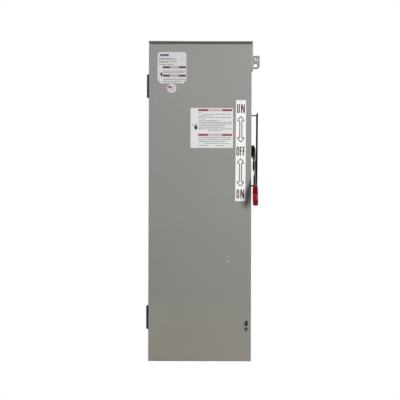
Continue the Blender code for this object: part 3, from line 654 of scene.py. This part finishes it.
def hood():
    """The top sheet, slightly bowed, with an undercut drip edge in front and a lap down each side."""
    low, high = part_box("top_endwall")
    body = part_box("enclosure_body")
    sheet, drip, undercut, bow, overhang = 0.002, 0.0058, 0.0150, 0.0004, 0.0034
    right = high.x + overhang
    rise, rise_from = 0.0012, -0.170
    cage = bmesh.new()
    lip_top = high.z - 0.0002
    profile = [(low.y, lip_top), (low.y + 0.0009, high.z), (high.y, high.z), (high.y, high.z - sheet)]
    profile += [(low.y + undercut + 0.004, high.z - sheet), (low.y + undercut + 0.0015, high.z - drip)]
    profile.append((low.y + undercut, high.z - drip))
    slab(cage, "YZ", profile, (low.x, right))
    strips = 12
    for i in range(1, strips):
        place = (low.x + (right - low.x) * i / strips, 0, 0)
        bmesh.ops.bisect_plane(cage, geom=everything(cage), plane_co=place, plane_no=(1, 0, 0))
    for v in cage.verts:
        v.co.z -= bow * (1 - (v.co.x / right) ** 2) * max(0.0, (high.y - v.co.y) / (high.y - low.y))
        v.co.z += rise * max(0.0, (rise_from - v.co.y) / (rise_from - low.y))
    edge = body[1].x - 0.0143
    block(cage, (-edge, body[0].y, high.z - 0.0225), (edge, body[0].y + sheet, high.z - sheet - bow), 0)
    side_front = DOOR[1].y + 0.001
    for sign in (-1, 1):
        x = sorted((sign * (high.x - sheet), sign * high.x))
        corners = [
            (side_front, high.z - sheet), (side_front, low.z), (high.y, low.z), (high.y, high.z - sheet)
        ]
        slab(cage, "YZ", fillet(corners, (0, 0.006, 0.006, 0)), x, 0.0003)
    opening = shaped(rod, "Z", (0, HUB_Y), (high.z - 0.01, high.z + 0.01), 0.038, 48, 0)
    finish(cage, "hood", PAINT, "enclosure", ["top_endwall"], [opening])
    for sign, where in ((-1, "left"), (1, "right")):
        for number, y in enumerate((-0.085, -0.025)):
            at = (sign * high.x, y, low.z + 0.022)
            screw(f"hood_screw_{where}_{number}", at, (sign, 0, 0), 0.0036)


def hub_plate():
    """The closing plate, with rounded corners, and its four screws."""
    low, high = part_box("hub_closing_plate")
    middle = (low + high) / 2
    half = (high.x - low.x) / 2
    corner = 0.012
    cage = bmesh.new()
    outline = []
    for sx, sy, start in ((1, 1, 0), (-1, 1, 90), (-1, -1, 180), (1, -1, 270)):
        centre = (middle.x + sx * (half - corner), middle.y + sy * (half - corner))
        outline += arc(centre, corner, start, start + 90, 6)
    slab(cage, "XY", outline, (low.z, high.z), 0.0006)
    finish(cage, "hub_cover", PAINT, "enclosure", ["hub_closing_plate"])
    for number, (sx, sy) in enumerate(((1, 1), (-1, 1), (-1, -1), (1, -1))):
        at = (middle.x + sx * (half - corner), middle.y + sy * (half - corner), high.z - 0.0001)
        screw(f"hub_screw_{number}", at, (0, 0, 1), 0.0042, drive="hex")


def bottom():
    """The bottom sheet as modelled, with the knockouts' stamped rings."""
    carried("bottom_endwall", PAINT, 0.0002)
    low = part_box("bottom_endwall")[0]
    height, slope, wall = 0.0005, 0.0008, 0.0004
    cage = bmesh.new()
    for x, radius in ((-0.085, 0.022), (0.0, 0.031), (0.085, 0.022)):
        for share in (1.0, 0.78, 0.56):
            extra = bmesh.new()
            radii = {"radius1": radius * share, "radius2": radius * share - slope}
            bmesh.ops.create_cone(extra, cap_ends=False, segments=40, depth=height, **radii)
            bmesh.ops.solidify(extra, geom=extra.faces[:], thickness=wall)
            bmesh.ops.translate(extra, vec=(x, HUB_Y, low.z - 0.0002), verts=extra.verts)
            merge(cage, extra)
    finish(cage, "knockout_rings", PAINT, "enclosure")


def side_tab():
    """The tab at the top right: a doubled flange, and a hook with two slits, a dimple and an open hole."""
    low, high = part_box("side_tab")
    front, leaf = low.y, 0.0025
    flange = bmesh.new()
    reach = high.z + 0.0050
    block(flange, (low.x, front + 0.0004, low.z), (low.x + leaf, high.y, reach), 0.0003)
    block(
        flange, (low.x + leaf, front - 0.0004, low.z), (low.x + 2 * leaf, high.y - 0.004, reach - 0.0004),
        0.0005,
    )
    # The flange takes the paler paint: a painted highlight.
    finish(flange, "tab_flange", FLANGE_PAINTED_HIGHLIGHT, "enclosure")
    cage = bmesh.new()
    bottom, top, start = 0.3868, 0.4260, low.x + 2 * leaf - 0.0004
    middle, eye = (0.1616, 0.3970), 0.0048
    corners = [(start, top), (high.x, top), (high.x, bottom), (start, bottom)]
    slab(cage, "XZ", fillet(corners, (0, 0.0035, 0.010, 0)), (front, front + 0.003), 0.0004)
    through = (front - 0.01, front + 0.01)
    hole = bmesh.new()
    ends = arc(middle, eye, -90, 90, 14) + arc((middle[0] - 0.0012, middle[1]), eye, 90, 270, 14)
    slab(hole, "XZ", ends, through)
    cutters = [hole]
    for x, half, start, end in ((0.1611, 0.0013, 0.4122, 0.4196), (0.1679, 0.0008, 0.4098, 0.4186)):
        cutters.append(shaped(block, (x - half, through[0], start), (x + half, through[1], end), 0))
    dimple = shaped(rod, "Y", (0.1612, 0.4060), (front - 0.01, front + 0.0014), 0.0019, 20, 0)
    finish(cage, "padlock_tab", PAINT, "enclosure", ["side_tab"], [*cutters, dimple])


# Labels


def printed(cage, name, finish_material, replaces=()):
    """A label's sheet, or the print on it."""
    finish(cage, name, finish_material, "door", replaces)


def word_lines(cage, rng, rows, face):
    """Rows of short dashes in place of small print. A row is its height, its left and its right."""
    for z, left, right in rows:
        x = left
        while x < right - 0.0015:
            length = min(rng.uniform(0.002, 0.008), right - x)
            bar(cage, x, x + length, z, z + DASH * rng.uniform(0.8, 1.15), face)
            x += length + rng.uniform(0.0007, 0.0016)


def red_bar(cage, left, right, gap, top, height, face):
    """A solid bar broken by a paler field that holds a word's worth of small blocks."""
    bar(cage, left, gap[0], top - height, top, face)
    bar(cage, gap[1], right, top - height, top, face)
    bar(cage, gap[0], gap[1], top - 0.0007, top, face)
    bar(cage, gap[0], gap[1], top - height, top - height + 0.0006, face)
    x = gap[0] + 0.0012
    while x < gap[1] - 0.0022:
        bar(cage, x, x + 0.0015, top - height + 0.0016, top - 0.0017, face)
        x += 0.0031


def hand_symbol(cage, x, z, size, face):
    """A plain pictogram: a rounded fist with two fingers."""
    fist = [(x + size * 0.30 * math.cos(a), z + size * 0.42 * math.sin(a)) for a in TURNS]
    slab(cage, "XZ", fist, (face - INK, face))
    for low_x, reach, up in ((-0.06, -0.62, 0.68), (0.12, 0.02, 0.78)):
        finger = [(x + size * low_x, z + size * 0.1), (x + size * reach, z + size * up)]
        ribbon(cage, finger, size * 0.15, False, face)


def bar(cage, left, right, low, high, face, lift=INK):
    """A printed rectangle."""
    slab(cage, "XZ", [(left, low), (right, low), (right, high), (left, high)], (face - lift, face))


def rivet(name, x, z, radius, face, finish_material=ZINC):
    """A rivet that holds a label to the door."""
    cage = shaped(dome, (x, face, z), radius, radius * 0.45)
    rod(cage, "Y", (x, z), (face - 0.0001, face + 0.0004), radius * 1.05, 24, 0)
    finish(cage, name, finish_material, "door")


def nameplate():
    """The rating plate: bars and dashes in place of words, and square notches for its rivets."""
    low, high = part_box("nameplate")
    face = low.y
    notch_x, notch_z, small = 0.0058, 0.0070, 0.0036
    outline = [(low.x + notch_x, low.z), (high.x - notch_x, low.z), (high.x - notch_x, low.z + notch_z)]
    outline += [(high.x, low.z + notch_z), (high.x, high.z - small), (high.x - small, high.z - small)]
    outline += [(high.x - small, high.z), (low.x + small, high.z), (low.x + small, high.z - small)]
    outline += [(low.x, high.z - small), (low.x, low.z + notch_z), (low.x + notch_x, low.z + notch_z)]
    cage = shaped(slab, "XZ", fillet(outline, 0.0012, 3), (low.y, high.y), 0.0002, 1)
    printed(cage, "nameplate_sheet", DULL_PAPER, ["nameplate"])
    rng = random.Random(5)
    left, right, top = low.x, high.x, high.z
    rows = [(top - 0.0195, left + 0.005, left + 0.046), (top - 0.0222, left + 0.004, left + 0.056)]
    rows += [(top - 0.0285, left + 0.004, left + 0.056), (top - 0.0310, left + 0.004, left + 0.030)]
    rows += [(top - 0.0372, left + 0.004, left + 0.048), (top - 0.0565, left + 0.018, right - 0.003)]
    rows += [(top - 0.0610, left + 0.018, right - 0.006), (top - 0.0800, left + 0.018, right - 0.003)]
    rows += [(top - 0.0865, left + 0.016, right - 0.016)]
    grey = shaped(word_lines, rng, rows, face)
    printed(grey, "nameplate_print", GREY_INK)
    mark = shaped(bar, left + 0.0075, left + 0.0325, top - 0.0118, top - 0.0062, face)
    printed(mark, "nameplate_mark", BLUE_INK)
    red = bmesh.new()
    for bar_top in (top - 0.0412, top - 0.0656):
        red_bar(red, left + 0.0155, right - 0.0022, (left + 0.0362, left + 0.0618), bar_top, 0.0060, face)
    printed(red, "nameplate_red_bars", CRIMSON_INK)
    black = shaped(hand_symbol, left + 0.0118, top - 0.0655, 0.0105, face)
    printed(black, "nameplate_symbol", BLACK_INK)
    for number, (x, z) in enumerate(((low.x, low.z), (high.x, low.z), (high.x, high.z), (low.x, high.z))):
        reach = (notch_x / 2, notch_z / 2) if z == low.z else (small / 2, -small / 2)
        inward = (reach[0] if x == low.x else -reach[0], reach[1])
        rivet(f"nameplate_rivet_{number}", x + inward[0], z + inward[1], 0.0015, FACE, PAINT)


def warning_label():
    """The large adhesive label: two red bars, dashes for print and a plain pictogram."""
    low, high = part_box("warning_label")
    face = low.y
    cage = bmesh.new()
    corners = [(low.x, low.z), (high.x, low.z), (high.x, high.z), (low.x, high.z)]
    slab(cage, "XZ", fillet(corners, 0.0018, 4), (low.y, high.y), 0.0001, 1)
    printed(cage, "warning_sheet", PAPER, ["warning_label"])
    column, right = low.x + 0.0225, high.x - 0.0030
    first, second = high.z - 0.0032, high.z - 0.0750
    red = bmesh.new()
    for top in (first, second):
        red_bar(red, column, right, (low.x + 0.0515, low.x + 0.0915), top, 0.0060, face)
    printed(red, "warning_red_bars", RED_INK)
    rows = []
    spans = [(0, 0.10), (0.12, 0.95), (0, 0.44), (0, 0.98), (0, 0.20), (0.02, 0.60), (0, 1.0), (0, 0.99)]
    spans += [(0.02, 0.80), (0, 0.78), (0, 1.0), (0.30, 0.72)]
    for i, (start, end) in enumerate(spans):
        z = first - 0.0108 - i * 0.00475
        rows.append((z, column + (right - column) * start, column + (right - column) * end))
    spans = [(0.02, 0.98), (0.02, 0.95), (0, 0.82), (0.18, 0.95), (0, 0.34), (0.52, 0.76)]
    for i, (start, end) in enumerate(spans):
        z = second - 0.0112 - min(i, 4) * 0.0058
        rows.append((z, column + (right - column) * start, column + (right - column) * end))
    grey = shaped(word_lines, random.Random(11), rows, face)
    printed(grey, "warning_print", GREY_INK)
    black = shaped(hand_symbol, low.x + 0.0158, high.z - 0.0570, 0.0150, face)
    printed(black, "warning_symbol", BLACK_INK)


def letter(cage, kind, left, low, width, height, stroke, face, turn=None):
    """A condensed capital O, N or F, drawn with flat strokes."""
    half = stroke / 2
    right, high = left + width, low + height
    if kind == "O":
        radius = width / 2 - half
        middle = left + width / 2
        path = arc((middle, high - half - radius), radius, 0, 180, 10)
        path += arc((middle, low + half + radius), radius, 180, 360, 10)
        ribbon(cage, path, stroke, True, face, turn)
    elif kind == "N":
        ribbon(cage, [(left + half, low), (left + half, high)], stroke, False, face, turn)
        ribbon(cage, [(right - half, low), (right - half, high)], stroke, False, face, turn)
        slant = [(left, high), (left + stroke * 1.2, high), (right, low), (right - stroke * 1.2, low)]
        slab(cage, "XZ", slant, (face - 1.5 * INK, face), turn=turn)
    else:
        ribbon(cage, [(left + half, low), (left + half, high)], stroke, False, face, turn)
        ribbon(cage, [(left + half, high - half), (right, high - half)], stroke, False, face, turn)
        middle = low + height * 0.52
        ribbon(cage, [(left + half, middle), (right - width * 0.1, middle)], stroke, False, face, turn)


def double_arrow(cage, x, low, high, face, turn=None):
    """The outline of an arrow with a head at each end."""
    shaft, head, reach, line = 0.0031, 0.0092, 0.0118, 0.0025
    quarter = [
        (shaft, reach + 0.0008), (head, reach - 0.0008), (head - 0.0012, reach - 0.0030), (0.0016, 0.0004),
        (0.0, 0.0),
    ]
    right = [(x + u, high - d) for u, d in quarter]
    left = [(x - u, high - d) for u, d in reversed(quarter[:-1])]
    mirrored = [(u, low + high - z) for u, z in (right + left)]
    ribbon(cage, right + left + mirrored[::-1], line, True, face, turn)


def position_strip():
    """The ON, OFF, ON strip with its arrows and rivets, put on a third of a degree askew."""
    low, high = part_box("position_strip")
    face = low.y
    centre = (low + high) / 2
    turn = Matrix.Translation(centre) @ Matrix.Rotation(math.radians(0.3), 4, "Y") @ Matrix.Translation(
        -centre
    )
    cage = shaped(block, low, high, 0.0002, 1, turn)
    printed(cage, "strip_sheet", LABEL, ["position_strip"])
    middle = centre.x
    length = high.z - low.z
    widths = {"O": 0.0084, "N": 0.0112, "F": 0.0063}
    words = bmesh.new()
    height, stroke = 0.0262, 0.0032
    for text, share, gap in (("ON", 0.9165, 0.0030), ("OFF", 0.4950, 0.0020), ("ON", 0.0715, 0.0030)):
        x = middle - (sum(widths[c] for c in text) + gap * (len(text) - 1)) / 2
        base = low.z + length * share - height / 2
        for kind in text:
            letter(words, kind, x, base, widths[kind], height, stroke, face, turn)
            x += widths[kind] + gap
    printed(words, "strip_words", DARK_RED_INK)
    arrows = bmesh.new()
    for low_share, high_share in ((0.588, 0.835), (0.151, 0.415)):
        double_arrow(arrows, middle, low.z + length * low_share, low.z + length * high_share, face, turn)
    printed(arrows, "strip_arrows", MAROON_INK)
    for number, share in enumerate((0.981, 0.434, 0.014)):
        at = turn @ Vector((middle, face, low.z + length * share))
        rivet(f"strip_rivet_{number}", at.x, at.z, 0.0015, face)


def sticker():
    """The small round sticker, with a dark patch and pale bands."""
    low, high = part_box("round_sticker")
    face = low.y
    middle = (low + high) / 2
    radius = (high.x - low.x) / 2
    cage = shaped(rod, "Y", (middle.x, middle.z), (low.y, high.y), radius, 48, 0.0001)
    finish(cage, "sticker_disc", PINK, "door", ["round_sticker"])
    bands = bmesh.new()
    for step in range(4):
        z = middle.z - 0.0030 + step * 0.0028
        bar(bands, middle.x + 0.0005, middle.x + 0.0095 - 0.0004 * step, z, z + 0.0011, face)
    bar(bands, middle.x - 0.0088, middle.x + 0.0070, middle.z - 0.0062, middle.z - 0.0050, face)
    finish(bands, "sticker_bands", PALE_INK, "door")
    patch = shaped(
        bar, middle.x - 0.0096, middle.x - 0.0004, middle.z + 0.0006, middle.z + 0.0066, face, 2 * INK
    )
    finish(patch, "sticker_patch", PATCH_INK, "door")


# Handle


def handle_turn():
    """From the lever pointing straight forward, in its pivot's own places, to where it rests."""
    return Matrix.Translation(AXIS) @ Matrix.Rotation(THROW, 4, "X")


def handle():
    """Hub, shoulder, lever with its black sleeve, red grip and bolt."""
    turn = handle_turn()
    hub = shaped(rod, "X", (0, 0), (0.1515, 0.1557), 0.0125, 40, 0.0014, turn=turn)
    near, far = 0.1513, 0.1628
    upright = Matrix.Translation(AXIS)
    body = fillet([(-0.012, -0.0135), (0.012, -0.0135), (0.012, 0.0035), (-0.012, 0.0035)], 0.004)
    slab(hub, "YZ", body, (near, far), 0.0010, 2, upright)
    shoulder = [(near, 0.006), (near, -0.0093), (0.1568, -0.0290), (far, -0.0330), (far, 0.006)]
    slab(hub, "XY", shoulder, (-0.0105, 0.0105), 0.0008, 2, turn)
    rod(hub, "Z", (0.1556, -0.1585), (0.150, 0.1654), 0.0045, 24, 0.0022)
    finish(hub, "hub_casting", BLACK, "handle", ["handle_hub"])
    lever = bmesh.new()
    low_x, high_x = 0.1572, 0.1610
    eye, half, reach = 0.0112, 0.011, 0.200
    meet = math.degrees(math.asin(half / eye))
    outline = arc((0, 0), eye, 180 + meet, 540 - meet, 28)
    outline += [
        (-reach + 0.003, half), (-reach, half - 0.003), (-reach, -half + 0.003), (-reach + 0.003, -half)
    ]
    slab(lever, "YZ", outline, (low_x, high_x), 0.0006, 2, turn)
    hole = shaped(rod, "X", (-0.078, 0), ACROSS_LEVER, PADLOCK_HOLE, 28, 0, turn=turn)
    bore = shaped(rod, "X", (0, 0), ACROSS_LEVER, 0.0083, 32, 0, turn=turn)
    finish(lever, "lever_bar", LEVER, "handle", ["lever"], [hole, bore])
    sleeve = bmesh.new()
    outline = arc((-0.1178, 0), 0.0120, -80, 80, 10) + [(-0.158, 0.0120), (-0.158, -0.0120)]
    slab(sleeve, "YZ", outline, (0.1545, 0.1592), 0.0014, 3, turn)
    finish(sleeve, "lever_sleeve", BLACK, "handle")
    grip()
    bolt = bmesh.new()
    low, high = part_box("handle_bolt")
    rod(bolt, "X", (0, 0), (low.x, high.x), 0.0075, 6, 0.0005, turn=turn)
    tool = shaped(rod, "X", (0, 0), (high.x - 0.0008, high.x + 0.002), 0.0035, 24, 0, turn=turn)
    finish(bolt, "hub_bolt", BLACK, "handle", ["handle_bolt"], [tool])


def grip():
    """The dipped vinyl grip: soft edges, a face cut upright when the lever is down, a moulded seam, and a
    painted highlight band along its crest.
    """
    turn = handle_turn()
    span = (0.1513, 0.1663)
    start, half = 0.1575, 0.0133
    nose = [(-0.2130, -half), (-0.2140, -0.0080), (-0.2080, 0.0035), (-0.1960, half)]
    corners = [(-start, -half), *nose, (-start, half)]
    radii = (0.0025, 0.0020, 0.0030, 0.0050, 0.0040, 0.0025)
    cage = shaped(cushion, corners, radii, span, 0.0034, turn)
    middle, proud, ridge = sum(span) / 2, -0.00025, 0.0005
    crest_low, crest_high = 0.0166, 0.0206
    cushion(cage, inset(corners, proud), radii, (middle - ridge, middle + ridge), ridge / 2, turn, 2)
    piece = finish(cage, "red_grip", VINYL, "handle", ["grip"])
    # The crest's faces take the paler red: a painted highlight line across the grip.
    piece.data.materials.append(GRIP_PAINTED_HIGHLIGHT)
    for face in piece.data.polygons:
        if crest_low < face.center.z < crest_high and face.normal.y < -0.6:
            face.material_index = 1


def lock_plate():
    """The sliding padlock plate: a closed sleeve round the lever, with rounded corners."""
    turn = handle_turn()
    start, end, half = -0.0715, -0.0515, 0.0135
    left, right, thick, thin, inner = 0.1540, 0.1624, 0.0028, 0.0009, 0.0113
    cage = bmesh.new()
    corners = [(end, -half), (end, half), (start, half), (start, -half)]
    side = fillet(corners, (0.0015, 0.0040, 0.0015, 0.0050))
    slab(cage, "YZ", side, (left, left + thick), 0.0005, 2, turn)
    slab(cage, "YZ", side, (right - thin, right), 0.0003, 1, turn)
    block(
        cage, (left + thin, start + 0.0052, -half), (right - thin / 2, end - 0.0015, -inner), 0.0003,
        turn=turn,
    )
    block(
        cage, (left + thin, start + 0.0015, inner), (right - thin / 2, end - 0.0042, half), 0.0003, turn=turn
    )
    hole = shaped(rod, "X", (-0.064, 0), ACROSS_LEVER, PADLOCK_HOLE, 28, 0, turn=turn)
    finish(cage, "lock_channel", BLACK, "lock_plate", ["lock_plate"], [hole])


def guard():
    """The handle guard: a plate leaning in a little towards the bottom, on two straps bolted to the side."""
    low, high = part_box("handle_guard")
    thick, lean = 0.0021, 0.0015
    plate_low, plate_high = AXIS.z - 0.111, AXIS.z + 0.111
    cage = bmesh.new()
    corners = [(high.y, plate_high), (high.y, plate_low), (low.y, plate_low), (low.y, plate_high)]
    slab(cage, "YZ", fillet(corners, 0.008), (high.x - thick, high.x), 0.0005)
    for v in cage.verts:
        v.co.x -= lean * (plate_high - v.co.z) / (plate_high - plate_low)
    finish(cage, "guard_plate", GUARD, "enclosure", ["handle_guard"])
    straps = bmesh.new()
    front, rear, wall = -0.160, -0.135, low.x
    for sign, where, offset, strap in ((-1, "lower", 0.0992, 0.0044), (1, "upper", 0.1040, 0.0022)):
        near = AXIS.z + sign * offset
        span = sorted((near, near + sign * strap))
        reach = high.x - thick + 0.0003 - (lean if sign < 0 else 0)
        block(straps, (wall, front, span[0]), (reach, rear, span[1]), 0.0004)
        span = sorted((near, near + sign * 0.020))
        block(straps, (wall, front, span[0]), (wall + thick, rear, span[1]), 0.0006)
        at = (wall + thick, -0.1475, AXIS.z + sign * 0.1155)
        screw(f"guard_screw_{where}", at, (1, 0, 0), 0.0038, drive="hex")
    finish(straps, "guard_straps", BLACK, "enclosure")


# Hinges and latch


def hinges():
    """Leaves and pins as modelled, and two rivets in each body leaf."""
    for where in ("upper", "lower"):
        for side in ("body", "door"):
            carried(f"hinge_leaf_{side}_{where}", HINGE, 0.0003)
        carried(f"hinge_pin_{where}", HINGE, 0.0002)
        low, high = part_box(f"hinge_leaf_body_{where}")
        for number, share in enumerate((0.18, 0.82)):
            z = low.z + (high.z - low.z) * share
            cage = shaped(dome, (low.x + 0.0056, high.y - 0.010, z), 0.0034, 0.0012, (-1, 0, 0))
            finish(cage, f"hinge_rivet_{where}_{number}", HINGE, "enclosure")


def latch():
    """The staple, and the slotted fastener under it with a small raised head."""
    carried("padlock_staple", BLACK, 0.0004)
    low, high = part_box("door_fastener")
    middle = (low + high) / 2
    cage = shaped(rod, "Y", (middle.x, middle.z), (low.y, FACE - 0.0003), 0.0046, 32, 0.0010)
    rod(cage, "Y", (middle.x, middle.z), (FACE - 0.001, high.y), 0.0024, 20, 0.0002)
    slot = bmesh.new()
    turned = Matrix.Translation((middle.x, 0, middle.z)) @ Matrix.Rotation(math.radians(20), 4, "Y")
    block(slot, (-0.007, low.y - 0.002, -0.0007), (0.007, low.y + 0.0021, 0.0007), 0, turn=turned)
    finish(cage, "fastener_screw", FASTENER, "fastener", ["door_fastener"], [slot])


# Inside


def interior():
    """The switch behind the door: CAD pieces with real finishes, and their screws."""
    for phase in PHASES:
        carried(f"blade_{phase}", COPPER, 0.0004)
        for level in ("upper", "lower"):
            carried(f"jaw_{level}_{phase}", COPPER, 0.0003)
        carried(f"load_post_{phase}", COPPER, 0.0003)
        for level in ("upper", "lower", "load"):
            name = f"lug_{level}_{phase}"
            carried(name, ALUMINIUM, 0.0005)
            low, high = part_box(name)
            middle = (low + high) / 2
            at = (middle.x, low.y + 0.0012, middle.z)
            screw(f"lug_screw_{level}_{phase}", at, (0, -1, 0), 0.0046, drive="hex")
    moulded = {"crossbar": 0.0004, "crossbar_bearing": 0.0006}
    moulded.update({"insulating_base": 0.0010, "shaft_bushing": 0.0004})
    for name, bevel in moulded.items():
        carried(name, MOULDED, bevel)
    plated = {"operating_shaft": 0.0004, "detent_cam": 0.0003, "detent_spring": 0.0002}
    plated.update({"mechanism_frame": 0.0004, "interlock_latch": 0.0004})
    plated.update({"interlock_pin": 0.0003, "interlock_catch": 0.0004})
    for name, bevel in plated.items():
        carried(name, ZINC, bevel)
    carried("ground_bar", ALUMINIUM, 0.0004)
    carried("phase_barrier_left", FIBRE, 0.0003)
    carried("phase_barrier_right", FIBRE, 0.0003)
    carried("line_shield", CLEAR, 0.0003)
    base_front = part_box("insulating_base")[0].y
    for number, (x, z) in enumerate(((-0.118, -0.240), (0.098, -0.240), (-0.118, 0.322), (0.098, 0.322))):
        screw(f"base_screw_{number}", (x, base_front, z), (0, -1, 0), 0.0042)
    bar_low, bar_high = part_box("ground_bar")
    count = 5
    for i in range(count):
        x = bar_low.x + (bar_high.x - bar_low.x) * (i + 0.5) / count
        at = (x, bar_low.y, (bar_low.z + bar_high.z) / 2)
        screw(f"ground_screw_{i}", at, (0, -1, 0), 0.0036, drive="slot")


camera()
studio()
wrapper()
door()
hood()
hub_plate()
bottom()
side_tab()
nameplate()
warning_label()
position_strip()
sticker()
handle()
lock_plate()
guard()
hinges()
latch()
interior()
